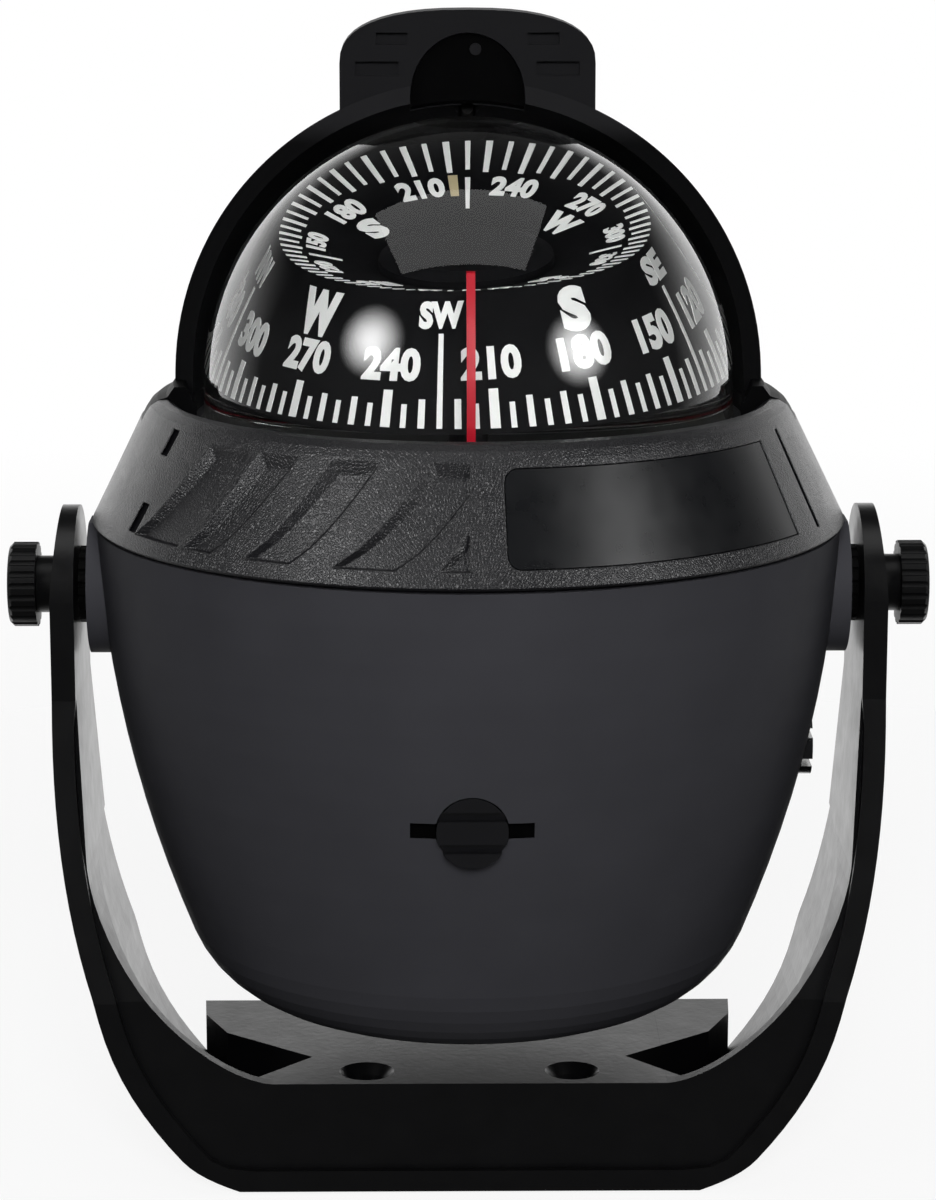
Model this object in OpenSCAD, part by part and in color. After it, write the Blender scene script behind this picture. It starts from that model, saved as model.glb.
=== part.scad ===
// Car dashboard compass: a liquid-filled ball capsule in a round case that tilts in a U bracket.
// Millimetres, +Z up, -Y towards the driver. The origin is the middle of the bracket's underside.

/* [Bracket] */
// Gap between the case at its seam and the inner face of an arm
arm_gap = 1.9; // [1.4:0.1:4]
// Depth of the base, front to back
bracket_d = 28; // [24:0.5:40]
// Thickness of the outer band
band_t = 2.2; // [2:0.1:4]
// Height of the floor that the screws hold down
floor_h = 11.2; // [9:0.1:14]
// Thickness of the floor plate
floor_t = 2.4; // [1.6:0.1:4]
// Set-back of the front web behind the band
web_inset = 0.9; // [0.4:0.1:2]
// Radius of the rounded arm tops, seen from the side
arm_top_r = 8.4; // [7:0.1:11]
// Thickness of the ribs under the floor
rib_t = 2; // [1.2:0.1:3]
// Sideways distance between the screw holes
hole_dx = 21; // [16:0.5:26]
// Front to back distance between the screw holes
hole_dy = 18.4; // [15:0.2:19]
// Radius of the screw holes
hole_r = 1.8; // [1.4:0.1:2]
// Radius of the countersinks
sink_r = 2.8; // [2.3:0.1:3.2]

/* [Pivot] */
// Height of the tilting axis above the dashboard
pivot_h = 60.3; // [58:0.1:66]
// Radius of the bosses on the case
boss_r = 7; // [6:0.1:8]
// Gap between a boss and the arm, which the washer fills
washer_t = 1; // [0.8:0.1:1.6]
// Radius of the serrated washers
washer_r = 3.9; // [3.4:0.1:5]
// Radius of the thumb screws' shanks
screw_r = 1.5; // [1.2:0.1:1.9]
// Radius of the thumb knobs
knob_r = 4.3; // [4:0.1:7]
// Thickness of a knob's head
knob_t = 2.8; // [2:0.1:5]
// Length of a knob's neck
neck_l = 1.8; // [1.5:0.1:4]
// Radius of a knob's neck
neck_r = 2.9; // [2.6:0.1:3.6]
// Outer radius of the threaded inserts
insert_r = 2.4; // [2.2:0.1:3]

/* [Case] */
// How far the seam under the bezel stands out from the dome's flange
seam_out = 7.7; // [7:0.1:9]
// Height of the seam above the tilting axis
seam_up = 6.7; // [6:0.1:7.5]
// Wall of the lower housing
case_wall = 2.2; // [1.6:0.1:3]
// Radius of the rounding at the foot of the housing
foot_r = 12.5; // [10:0.5:15]
// Free height between the bracket's floor and the housing
case_clear = 4.8; // [3:0.1:8]
// How far the widest line of the bezel stands out from the seam
bezel_out = 0.4; // [0.2:0.05:0.8]
// How far the bezel's shoulder, where the cone ends, stands out from the dome's flange
shoulder_out = 2.7; // [2.4:0.1:3.2]
// Height of the bezel above the seam
bezel_h = 13; // [12.6:0.1:13.4]
// Depth of the recesses in the bezel
recess_d = 0.7; // [0.4:0.05:0.9]

/* [Capsule] */
// Outer radius of the clear dome
dome_r = 26.65; // [26:0.05:27]
// Height of the dome's centre above the seam
dome_up = 14; // [13:0.1:15.5]
// Wall of the dome and of the bowl
dome_wall = 1.75; // [1.2:0.05:2.2]
// Width of the flanges of dome and bowl
flange_w = 3.25; // [2.8:0.05:3.6]
// Thickness of the gasket
gasket_t = 0.9; // [0.6:0.1:1.1]

/* [Card] */
// Reading at the lubber line, in degrees
heading = 217.5; // [0:0.5:360]
// Radius of the card's lower edge
card_r = 19; // [17.5:0.1:20]
// Radius of the card's top ring
ring_r = 14; // [13.5:0.1:15.5]
// Depth of the card's lower edge below the dome's centre
card_drop = 1.2; // [0:0.1:2]
// Height of the card's top ring above its lower edge
card_rise = 11.8; // [10:0.1:13]
// Depth of the dish inside the card's top ring
card_dish = 2.1; // [1.5:0.1:2.6]
// How far the floating card's far side stands up in the case
card_pitch = 2.5; // [0:0.1:3]
// How far the floating card's right side stands up in the case
card_roll = 1.9; // [0:0.1:3]
// Thickness of the card's shell
card_t = 0.8; // [0.5:0.1:1.2]
// Radius of the raised hub on the card
hub_r = 6.3; // [5:0.1:7]
// Width of the lubber line
lubber_w = 0.8; // [0.5:0.1:1.2]

/* [Hood] */
// Gap between the dome and the hood
hood_gap = 1.15; // [0.9:0.05:2]
// Wall of the hood
hood_wall = 1.8; // [1.6:0.1:2.4]
// Height of the hood's centre above the dome's
hood_lift = 1.3; // [0.8:0.1:2]
// Width of the tab on top
tab_w = 26; // [22:0.2:30]
// Thickness of the tab
tab_t = 4.4; // [4:0.1:5.5]
// Height of the tab's top above the hood's
tab_up = 5.8; // [4.5:0.1:8]

/* [Adjusters] */
// Depth of the two adjuster shafts below the seam
adjuster_drop = 23.4; // [21:0.1:25]
// Radius of an adjuster's knob
adjuster_r = 3.4; // [3:0.1:4]
// Radius of an adjuster's shaft
shaft_r = 1.4; // [1.1:0.1:1.7]
// Length of an adjuster's magnet bars
magnet_l = 7.6; // [6:0.1:8]
// Width and height of an adjuster's magnet bars
magnet_w = 2; // [1.5:0.1:2.4]

/* [Hidden] */
$fn = 96;
eps = 0.05;
// Gap between pieces that are seated on each other
seat = 0.1;
// Radial gap of a shaft or screw that turns
running = 0.06;

// Radii, from the dome outwards
flange_r = dome_r + flange_w;
shoulder_r = flange_r + shoulder_out;
seam_r = flange_r + seam_out;
bezel_r = seam_r + bezel_out;
hood_r = dome_r + hood_gap + hood_wall;
arm_in = seam_r + arm_gap;
arm_out = arm_in + band_t + 0.2;
bracket_w = 2 * arm_out;

// Heights, from the tilting axis up and down
seam_h = pivot_h + seam_up;
dome_h = seam_h + dome_up;
card_low_h = dome_h - card_drop;
card_top_h = card_low_h + card_rise;
hood_c = dome_h + hood_lift;
tab_top = hood_c + hood_r + tab_up;
adjuster_h = seam_h - adjuster_drop;
// Depth of the housing's side wall, from the seam to the rounding at its foot
side_h = seam_h - floor_h - case_clear - foot_r * 20 / 27;
boss_end = arm_in - washer_t - seat;
base_half = bracket_d / 2;

// Outline helpers

// A rod along X, from x0 to x1
module rod_x(x0, x1, r) {
    translate([x0, 0, 0]) rotate([0, 90, 0]) cylinder(h = x1 - x0, r = r);
}

// A rod along Y, from y0 to y1
module rod_y(y0, y1, r) {
    translate([0, y0, 0]) rotate([-90, 0, 0]) cylinder(h = y1 - y0, r = r);
}

// A ring with an upright axis
module ring(z0, z1, r_in, r_out) {
    translate([0, 0, z0]) difference() {
        cylinder(h = z1 - z0, r = r_out);
        translate([0, 0, -1]) cylinder(h = z1 - z0 + 2, r = r_in);
    }
}

// A flat outline in X and Z, made as thick as from y0 to y1
module slab_y(y0, y1) {
    translate([0, y1, 0]) rotate([90, 0, 0]) linear_extrude(y1 - y0) children();
}

// Turns what faces the driver to another bearing round the case
module bearing(a) {
    rotate([0, 0, a]) children();
}

// Bracket

bend_h = 50;
bend_p = 2.3;
bend_b = 62.4;
arm_top = pivot_h - 0.3 + arm_top_r;

// Half width of the bracket's outer face at height z
function out_x(z) = z >= bend_h ? arm_out
    : arm_out * sqrt(1 - pow((bend_h - z) / bend_b, bend_p)) + (z > 3.5 && z < 20 ? 0.62 * sin((z - 3.5) * 180 / 16.5) : 0);
// Outward slope of that face
function out_slope(z) = (out_x(z + 0.05) - out_x(z - 0.05)) / 0.1;
// A point of that face moved inwards by d
function out_pt(z, d) = let (s = out_slope(z), n = sqrt(1 + s * s))
    [out_x(z) - d / n, z + d * s / n];

bend_steps = [for (i = [0 : 24]) bend_h * pow(i / 24, 1.3)];

module mirrored_outline(right) {
    polygon(concat(right, [for (i = [len(right) - 1 : -1 : 0]) [-right[i][0], right[i][1]]]));
}

// The lower corners are rounded over this width and height
corner_w = 3.1;
corner_h = 4;
module bracket_outline() {
    mirrored_outline(concat([for (i = [0 : 7]) let (z = corner_h * pow(i / 8, 1.5)) [out_x(z) - corner_w * pow(1 - z / corner_h, 2.5), z]],
        [for (z = bend_steps) if (z > corner_h) [out_x(z), z]],
        [[arm_out, pivot_h], [arm_out - 0.7, arm_top]]));
}

module band_hollow() {
    inner = [for (z = bend_steps) let (p = out_pt(max(z, 0.2), band_t)) if (p[1] > band_t + 1.5 && p[1] < bend_h) p];
    turn = inner[0][1] - band_t;
    mirrored_outline(concat([for (u = [[2.3, 0], [1.2, 0.12], [0.5, 0.45]]) [inner[0][0] - u[0] * turn, band_t + u[1] * turn]],
        inner, [[arm_in, bend_h], [arm_in, arm_top + 1]]));
}

web_top = 34;
web_flat = 20;
web_p = 1.6;
module web_hollow() {
    top_x = out_x(web_top) - band_t - 0.2;
    rise = web_top - floor_h;
    curve = [for (i = [0 : 18]) let (u = pow(sin(i * 5), 2 / web_p), v = pow(cos(i * 5), 2 / web_p))
        [web_flat + (top_x - web_flat) * u, web_top - rise * v]];
    mirrored_outline(concat(curve, [[arm_in, bend_h], [arm_in, arm_top + 1]]));
}

// Side view of the arms; inset draws the front edge back
module side_outline(inset) {
    taper_low = 20;
    taper_high = 50;
    polygon([[-base_half + inset, -1], [base_half, -1], [base_half, taper_low], [arm_top_r, taper_high],
        [arm_top_r, arm_top - arm_top_r], [-arm_top_r + inset, arm_top - arm_top_r],
        [-arm_top_r + inset, taper_high], [-base_half + inset, taper_low]]);
    translate([0, arm_top - arm_top_r]) circle(r = arm_top_r);
}

module side_prism(inset) {
    rotate([90, 0, 90]) translate([0, 0, -arm_out - 2]) linear_extrude(bracket_w + 4) side_outline(inset);
}

// Where the arm roots are open to the rear, seen from the side
web_back = 3.2;
module root_opening_side() {
    front = -base_half + web_back;
    rotate([90, 0, 90]) translate([0, 0, -arm_out - 2]) linear_extrude(bracket_w + 4)
        polygon([[front - 0.8, -2], [front - 0.8, 17], [front + 0.2, 21], [front + 2.6, 24.5], [front + 5.6, 27.5],
            [front + 8, 30], [front + 11, 32.2], [base_half + 1, web_top + 0.5], [base_half + 1, -2]]);
}

// Plan of the floor, pointed at its front corners where the arm roots open
floor_x = arm_out - 13.6;
module floor_plan() {
    front = -base_half + web_inset + 0.4;
    right = [[22, front], [22, front + 1.2], [16.2, front + 8], [25.4, front + 15.8], [28, front + 22],
        [floor_x, base_half]];
    polygon(concat(right, [for (i = [len(right) - 1 : -1 : 0]) [-right[i][0], right[i][1]]]));
}

post_r = 3.6;
module at_holes() {
    for (x = [-1, 1], y = [-1, 1]) translate([x * hole_dx / 2, y * hole_dy / 2, 0]) children();
}

module floor_cells() {
    cell_h = floor_h - floor_t;
    cell_end = hole_dx / 2 + 2;
    difference() {
        union() for (s = [-1, 1]) {
            for (y = [[-base_half + 3.4, -rib_t / 2], [rib_t / 2, base_half - 2.6]])
                translate([s > 0 ? rib_t / 2 : -cell_end, y[0], -1]) cube([cell_end - rib_t / 2, y[1] - y[0], cell_h + 1]);
            translate([s > 0 ? cell_end + rib_t : -floor_x + 5, 5, -1])
                cube([floor_x - 5 - (cell_end + rib_t), base_half - 2.6 - 5, cell_h + 1]);
        }
        at_holes() translate([0, 0, -2]) cylinder(h = floor_h + 2, r = post_r);
    }
}

module mounting_bracket() color([0.06, 0.06, 0.065]) difference() {
    union() {
        intersection() {
            side_prism(0);
            slab_y(-base_half, base_half) difference() {
                bracket_outline();
                band_hollow();
            }
        }
        difference() {
            intersection() {
                side_prism(web_inset);
                slab_y(-base_half, base_half) difference() {
                    bracket_outline();
                    web_hollow();
                }
            }
            difference() {
                root_opening_side();
                linear_extrude(floor_h + 0.01) floor_plan();
            }
        }
    }
    floor_cells();
    at_holes() {
        translate([0, 0, -1]) cylinder(h = floor_h + 2, r = hole_r);
        translate([0, 0, floor_h - (sink_r - hole_r)]) cylinder(h = sink_r - hole_r + 0.01, r1 = hole_r, r2 = sink_r);
        translate([0, 0, floor_h]) cylinder(h = 6, r = sink_r);
    }
    translate([0, 0, pivot_h]) rod_x(-arm_out - 2, arm_out + 2, screw_r + 0.35);
}

// Thumb knobs, screws, washers and inserts

knob_in = arm_out + seat;
knob_out = knob_in + neck_l + knob_t;

module knob_shape() {
    grooves = 22;
    difference() {
        union() {
            rod_x(knob_in, knob_out - knob_t + 0.2, neck_r);
            rod_x(knob_out - knob_t, knob_out - 0.4, knob_r);
            translate([knob_out - 0.4 - 0.01, 0, 0]) rotate([0, 90, 0]) cylinder(h = 0.41, r1 = knob_r, r2 = knob_r - 0.4);
        }
        rod_x(knob_in - 1, knob_out - 1.2, screw_r);
        for (i = [0 : grooves - 1]) rotate([i * 360 / grooves, 0, 0]) translate([0, 0, knob_r + 0.12])
            rod_x(knob_out - knob_t - 1, knob_out + 1, 0.36);
    }
}

screw_in = boss_end - 4.2;
module knob_screw_shape() {
    rod_x(screw_in, knob_out - 1.25, screw_r - 0.01);
}

module washer_shape() {
    teeth = 18;
    difference() {
        rod_x(boss_end + seat / 2, arm_in - seat / 2, washer_r);
        rod_x(boss_end - 1, arm_in + 1, screw_r + 0.3);
        for (i = [0 : teeth - 1]) rotate([i * 360 / teeth, 0, 0]) translate([0, 0, washer_r])
            rod_x(boss_end - 1, arm_in + 1, 0.32);
    }
}

module at_pivot(side) {
    translate([0, 0, pivot_h]) mirror([side < 0 ? 1 : 0, 0, 0]) children();
}

module left_knob() color([0.08, 0.08, 0.085]) at_pivot(-1) knob_shape();
module right_knob() color([0.08, 0.08, 0.085]) at_pivot(1) knob_shape();
module left_knob_screw() color([0.7, 0.7, 0.72]) at_pivot(-1) knob_screw_shape();
module right_knob_screw() color([0.7, 0.7, 0.72]) at_pivot(1) knob_screw_shape();
module left_washer() color([0.05, 0.05, 0.05]) at_pivot(-1) washer_shape();
module right_washer() color([0.05, 0.05, 0.05]) at_pivot(1) washer_shape();

insert_l = 5;
module pivot_inserts() color([0.75, 0.6, 0.3]) for (side = [-1, 1]) at_pivot(side) difference() {
    rod_x(boss_end - insert_l, boss_end - 0.1, insert_r - 0.02);
    rod_x(boss_end - insert_l - 1, boss_end + 1, screw_r + running);
}

// Lower housing

lean = 0.03;
bow = 225;
// Radius of the housing at t below the seam
function side_r(t) = seam_r - lean * t - t * t / bow;
function side_slope(t) = lean + 2 * t / bow;
// A point of the side wall, moved inwards by d
function side_pt(t, d) = let (s = side_slope(t), n = sqrt(1 + s * s))
    [side_r(t) - d / n, seam_h - t + d * s / n];
foot_a = atan(side_slope(side_h));
foot_end_a = 80;
foot_c = let (p = side_pt(side_h, foot_r)) p;
belly_r = (foot_c[0] + foot_r * cos(foot_end_a)) / cos(foot_end_a);
belly_z = foot_c[1] - foot_r * sin(foot_end_a) + belly_r * sin(foot_end_a);

// The housing's profile from the seam down to the axis, moved inwards by d
function case_profile(d) = concat(
    [for (i = [0 : 12]) side_pt(side_h * i / 12, d)],
    [for (i = [1 : 7]) let (a = foot_a + (foot_end_a - foot_a) * i / 7)
        foot_c + (foot_r - d) * [cos(a), -sin(a)]],
    [for (i = [1 : 3]) let (a = foot_end_a + (90 - foot_end_a) * i / 3)
        [i == 3 ? 0 : (belly_r - d) * cos(a), belly_z - (belly_r - d) * sin(a)]]);

module case_solid(d) {
    rotate_extrude() polygon(concat([[0, seam_h + 3], [case_profile(d)[0][0], seam_h + 3]], case_profile(d)));
}

// Radius of the housing's outer face at height z
function case_r(z) = side_r(seam_h - z);

slot_l = 11.7;
slot_w = 1.5;
module adjuster_slot() {
    translate([-slot_l / 2, -case_r(adjuster_h) - 2, adjuster_h - slot_w / 2]) cube([slot_l, 2.9, slot_w]);
}

pillar_r = 2.4;
pillar_at = 15;
pillar_bearings = [45, 165, 285];
cage_drop = 6;
cage_z = adjuster_h - cage_drop;
cage_t = 1.6;
lug_bearings = [145, 215];
lug_z = seam_h - 4.2;
lug_w = 5.2;
bezel_screw_r = 1.1;
grommet_r = 2.6;
pillar_foot = belly_z - belly_r + case_wall / 2;

module housing_cuts() {
    at_pivot(1) rod_x(boss_end - insert_l - 0.1, boss_end + 1, insert_r);
    at_pivot(-1) rod_x(boss_end - insert_l - 0.1, boss_end + 1, insert_r);
    translate([0, 0, adjuster_h]) rod_y(-seam_r - 2, -case_r(adjuster_h) + case_wall + 4, adjuster_r + 0.1);
    translate([0, 0, adjuster_h]) rod_x(case_r(adjuster_h) - case_wall - 4, seam_r + 2, adjuster_r + 0.1);
    adjuster_slot();
    bearing(90) adjuster_slot();
    translate([0, 0, adjuster_h]) rod_y(case_r(adjuster_h) - case_wall - 4, seam_r + 2, grommet_r);
    for (a = lug_bearings) bearing(a) translate([0, 0, lug_z]) {
        rod_y(-seam_r - 2, -seam_r + 6, bezel_screw_r + 0.1);
        rod_y(-seam_r - 2, -case_r(lug_z) + 1, 2.1);
    }
}

module lower_housing() color([0.09, 0.09, 0.095]) difference() {
    union() {
        difference() {
            case_solid(0);
            case_solid(case_wall);
        }
        for (side = [-1, 1]) at_pivot(side) intersection() {
            rod_x(boss_end - insert_l - 0.1, boss_end, boss_r);
            translate([0, -boss_r, -boss_r - 1]) cube([seam_r + 5, 2 * boss_r, boss_r + 1 + seam_h - 2.6 - pivot_h]);
        }
        for (side = [-1, 1]) at_pivot(side) intersection() {
            rod_x(seam_r - 3, boss_end, boss_r);
            translate([0, -boss_r, -boss_r - 1]) cube([seam_r + 5, 2 * boss_r, boss_r + 1 + seam_h - pivot_h]);
            difference() {
                translate([0, -boss_r, -boss_r - 1]) cube([seam_r + 5, 2 * boss_r, 3 * boss_r]);
                translate([0, 0, -pivot_h]) case_solid(case_wall / 2);
            }
        }
        intersection() {
            case_solid(0.2);
            for (a = pillar_bearings) bearing(a) translate([0, -pillar_at, pillar_foot])
                cylinder(h = cage_z - seat - pillar_foot, r = pillar_r);
        }
    }
    translate([0, 0, seam_h]) cylinder(h = 10, r = seam_r + 5);
    for (a = pillar_bearings) bearing(a) translate([0, -pillar_at, cage_z - 8]) cylinder(h = 9, r = 0.85);
    housing_cuts();
}

// Bezel and its panel

shoulder_z = seam_h + bezel_h - 1.4;
rim_z = seam_h + bezel_h;
lip_r = dome_r + 0.5;
shelf_up = 8.6;
seat_up = 4.2;
shelf_z = seam_h + shelf_up;
seat_z = seam_h + seat_up;
spigot_r = seam_r - case_wall - 0.2;
seat_out = spigot_r - 1.4;
cone_low_z = seam_h + 0.6;
clamp_t = 2;
screw_head_t = 1;
// The lugs end under the heads of the clamp screws
lug_top = seat_z - clamp_t - screw_head_t - 0.3;

// Radius of the bezel's cone at height z
function cone_r(z) = bezel_r + (shoulder_r - bezel_r) * (z - cone_low_z) / (shoulder_z - cone_low_z);

module bezel_profile() {
    polygon([[seam_r - 1, seam_h + 0.1], [seam_r - 1, seam_h + 0.3], [seam_r + 0.05, seam_h + 0.3],
        [bezel_r, cone_low_z], [shoulder_r, shoulder_z],
        [shoulder_r - 0.5, shoulder_z + 0.75], [shoulder_r - 1.3, rim_z - 0.12], [shoulder_r - 2.2, rim_z],
        [shoulder_r - 2.7, rim_z - 0.3], [lip_r, shelf_z + 1.8], [lip_r, shelf_z], [flange_r + 0.2, shelf_z],
        [flange_r + 0.2, seat_z], [seat_out, seat_z], [seat_out, seam_h - 2.4], [spigot_r, seam_h - 2.4],
        [spigot_r, seam_h + 0.1]]);
}

// The layer under the bezel's cone, t deep
module cone_layer(t) {
    rotate_extrude() polygon([[cone_r(cone_low_z) + 2, cone_low_z], [cone_r(cone_low_z) - t, cone_low_z],
        [cone_r(shoulder_z + 1) - t, shoulder_z + 1], [cone_r(shoulder_z + 1) + 2, shoulder_z + 1]]);
}

// A patch of the cone between bearings that lean from top to bottom; positive bearings are to the right
function lean_edge(a_top, a_low, z_low, z_top, steps) = [for (i = [0 : steps]) let (u = i / steps,
    z = z_low + (z_top - z_low) * u, a = a_low + (a_top - a_low) * pow(u, 0.8))
    [cone_r(z) * sin(a), z]];

// A recess: its upper end and its left side are ramps, its right side is a wall
module recess(left_top, left_low, right_top, right_low) {
    left = lean_edge(left_top - 4, left_low - 4, recess_low, recess_top, 6);
    right = lean_edge(right_top, right_low, recess_low, recess_top, 6);
    ramp_z = recess_top - recess_ramp;
    bent = (left_top + left_low) / 2 + recess_ramp_a;
    intersection() {
        rotate_extrude() polygon([[cone_r(recess_low) + 2, recess_low], [cone_r(recess_low) - recess_d, recess_low],
            [cone_r(ramp_z) - recess_d, ramp_z], [cone_r(recess_top), recess_top], [cone_r(recess_top) + 2, recess_top]]);
        slab_y(-bezel_r - 4, -8) polygon(concat(right, [for (i = [len(left) - 1 : -1 : 0]) left[i]]));
        rotate([0, 0, bent - 90]) slab_y(-60, 60) polygon(concat([[80, recess_low]], [for (i = [0 : 6])
            let (z = recess_low + (recess_top - recess_low) * i / 6, a = left_low + (left_top - left_low) * pow(i / 6, 0.8))
            [cone_r(z) * (sin(a) * sin(bent) + cos(a) * cos(bent)), z]], [[80, recess_top]]));
        translate([-80, -80, recess_low - 1]) cube([80 + recess_stop, 160, recess_top - recess_low + 2]);
    }
}

module cone_patch(left_top, left_low, right_top, right_low, z_low, z_top, t) {
    left = lean_edge(left_top, left_low, z_low, z_top, 6);
    right = lean_edge(right_top, right_low, z_low, z_top, 6);
    intersection() {
        cone_layer(t);
        slab_y(-bezel_r - 4, -8) polygon(concat(right, [for (i = [len(left) - 1 : -1 : 0]) left[i]]));
    }
}

recess_low = seam_h + 2;
recess_top = shoulder_z - 0.2;
// Length of a recess's upper ramp, and the angle of its side ramp to the cone
recess_ramp = 1.5;
recess_ramp_a = 30;
// Each row: left top, left foot, right top, right foot, as bearings in degrees
recesses = [[-49, -60.5, -38.8, -48.4], [-37.5, -47.2, -29.4, -41.2], [-23.3, -35, -14.9, -27.1],
    [-6.2, -20.5, 3, -11], [3.9, -4.85, 12, 4]];
// The recesses end here, at the rib beside the panel
recess_stop = -0.25;

panel_left = 5;
panel_right = 58;
panel_up = 2.1;
panel_l = 8.8;
panel_low = seam_h + panel_up;
panel_top = panel_low + panel_l;

// The panel's outline, drawn in by g, with rounded corners on its left
panel_corner = 1.3;
function panel_turn(z, g) = let (c = panel_corner - g, d = min(z - panel_low, panel_top - z) - g)
    (g + (d < c ? c - sqrt(max(0, c * c - (c - d) * (c - d))) : 0)) * 180 / (PI * cone_r(z));

module panel_shape(g) {
    low = panel_low + g;
    high = panel_top - g;
    c = panel_corner - g;
    heights = concat([for (i = [0 : 5]) low + c * (1 - cos(i * 18))], [for (i = [5 : -1 : 0]) high - c * (1 - cos(i * 18))]);
    slab_y(-bezel_r - 4, -8) polygon(concat(
        [for (z = heights) [cone_r(z) * sin(panel_left + panel_turn(z, g)), z]],
        [for (z = [high, low]) [cone_r(z) * sin(panel_right - g * 1.6), z]]));
}

// The hood's foot rests in this step behind the bezel's rim
step_up = 10.8;
step_z = seam_h + step_up;
step_in = hood_r - hood_wall - 0.4;
step_front = -4.6;

hood_screw_bearings = [112, 248];
clamp_bearings = [30, 90, 150, 210, 270, 330];
clamp_at = seat_out - 2;
clamp_screw_r = 0.8;
// Length of a clamp screw in the bezel
clamp_grip = 4;
hood_screw_at = seat_out - 2.7;
hood_screw_r = 0.7;
lead_r = 0.6;

module lead_rod(a, b, r) {
    d = b - a;
    l = norm(d);
    translate([0, a[0], a[1]]) rotate([-90 + atan2(d[1], d[0]), 0, 0]) cylinder(h = l, r = r);
}

lead_high = [hood_r - 1.6, step_z + 1.2];
lead_mid = [clamp_at, seat_z + 3.2];
lead_low = [clamp_at, seam_h - 3];

module bezel() color([0.1, 0.1, 0.105]) difference() {
    union() {
        rotate_extrude() bezel_profile();
        for (a = lug_bearings) bearing(a) translate([-lug_w / 2, -seat_out - 0.9, lug_z - 2.4])
            cube([lug_w, 3.9, lug_top - lug_z + 2.4]);
    }
    for (r = recesses) recess(r[0], r[1], r[2], r[3]);
    intersection() {
        cone_layer(0.8);
        panel_shape(0);
    }
    cone_patch(65.1, 65.1, 66, 66, recess_low, recess_top, 0.3);
    for (z = [[seam_h + 2.1, seam_h + 4.9], [seam_h + 9.3, seam_h + 11.8]])
        cone_patch(-61.7, -62.7, -59.5, -60.5, z[0], z[1], 0.5);
    difference() {
        translate([-bezel_r, step_front, step_z]) cube([2 * bezel_r, bezel_r + 2, bezel_h]);
        translate([0, 0, step_z - 1]) cylinder(h = bezel_h + 2, r = step_in);
    }
    for (a = lug_bearings) bearing(a) translate([0, 0, lug_z]) rod_y(-seam_r, -spigot_r + 6, bezel_screw_r);
    for (a = clamp_bearings) bearing(a) translate([0, -clamp_at, seat_z - 1]) cylinder(h = clamp_grip + 1.2, r = clamp_screw_r);
    for (a = hood_screw_bearings) bearing(a) translate([0, -hood_screw_at, seat_z - 1]) cylinder(h = 12, r = hood_screw_r + 0.1);
    lead_rod(lead_high + [-0.6, 0.9], lead_mid, lead_r + 0.25);
    lead_rod(lead_mid + [0, 1.1], lead_low - [0, 2], lead_r + 0.5);
}

module bezel_panel() color([0.04, 0.04, 0.045]) intersection() {
    rotate_extrude() polygon([for (p = [[0.75, cone_low_z], [0.05, cone_low_z], [0.05, shoulder_z], [0.75, shoulder_z]])
        [cone_r(p[1]) - p[0], p[1]]]);
    panel_shape(0.1);
}

module bezel_screws() color([0.72, 0.72, 0.74]) for (a = lug_bearings) bearing(a) translate([0, 0, lug_z]) {
    rod_y(-case_r(lug_z) + 1.05, -spigot_r + 4, bezel_screw_r - 0.02);
    rod_y(-case_r(lug_z) + 0.1, -case_r(lug_z) + 1.0 - 0.02, 1.9);
    rod_y(-case_r(lug_z) + 0.9, -case_r(lug_z) + 1.1, bezel_screw_r - 0.02);
}

// Hood, with the tab that holds the lamp

hood_front_low = 0.5;
hood_front_top = 9;
tab_front = 8.6;
niche_w = 11.7;
niche_top = tab_top - 2.3;
niche_d = 2;
led_r = 1.1;
lamp_y = tab_front + niche_d + led_r;

module hood_shell() {
    low = step_z + seat;
    slope = (hood_front_top - hood_front_low) / (hood_r);
    difference() {
        union() {
            translate([0, 0, hood_c]) sphere(r = hood_r);
            translate([0, 0, low]) cylinder(h = hood_c - low, r = hood_r);
        }
        translate([0, 0, hood_c]) sphere(r = hood_r - hood_wall);
        translate([0, 0, low - 1]) cylinder(h = hood_c - low + 1, r = hood_r - hood_wall);
        translate([0, 0, low - hood_r * 2]) cylinder(h = 2 * hood_r, r = 2 * hood_r);
        rotate([90, 0, 90]) translate([0, 0, -2 * hood_r]) linear_extrude(4 * hood_r)
            polygon([[-2 * hood_r, low - 1], [hood_front_low - slope * 4, low - 1], [hood_front_low, low + 3],
                [hood_front_top + slope, hood_c + hood_r + 1], [-2 * hood_r, hood_c + hood_r + 1]]);
    }
}

module hood_foot() {
    low = step_z + seat;
    intersection() {
        rotate_extrude() polygon([[step_in + 0.1, low], [cone_r(low) - 0.1, low], [shoulder_r - 0.1, shoulder_z],
            [shoulder_r - 0.6, shoulder_z + 0.75], [shoulder_r - 1.3, rim_z - 0.1], [hood_r + 0.8, rim_z + 0.2],
            [hood_r + 0.1, rim_z + 1.2], [hood_r - 1, rim_z + 1.2], [hood_r - hood_wall, rim_z - 0.4], [step_in + 0.1, rim_z - 0.4]]);
        translate([-bezel_r, step_front + 0.2, low - 1]) cube([2 * bezel_r, 2 * bezel_r, bezel_h]);
    }
}

// Front view of the tab: straight sides and a broad round top
module tab_outline(grow) {
    half = tab_w / 2 + grow;
    corner_h = 5.4;
    steps = 12;
    side = [for (i = [0 : steps]) let (a = i * 90 / steps)
        [i == steps ? 0 : half * pow(cos(a), 0.8), tab_top - corner_h + (corner_h + grow) * pow(sin(a), 0.8)]];
    low = dome_h + 12;
    mirrored_outline(concat([[half, low]], side));
}

module niche_outline(shrink) {
    half = niche_w / 2 - shrink;
    low = dome_h + 22;
    mirrored_outline(concat([[half, low]], [for (i = [0 : 10]) let (a = i * 9)
        [half * cos(a), niche_top - 6.4 + (6.4 - shrink) * sin(a)]]));
}

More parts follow.
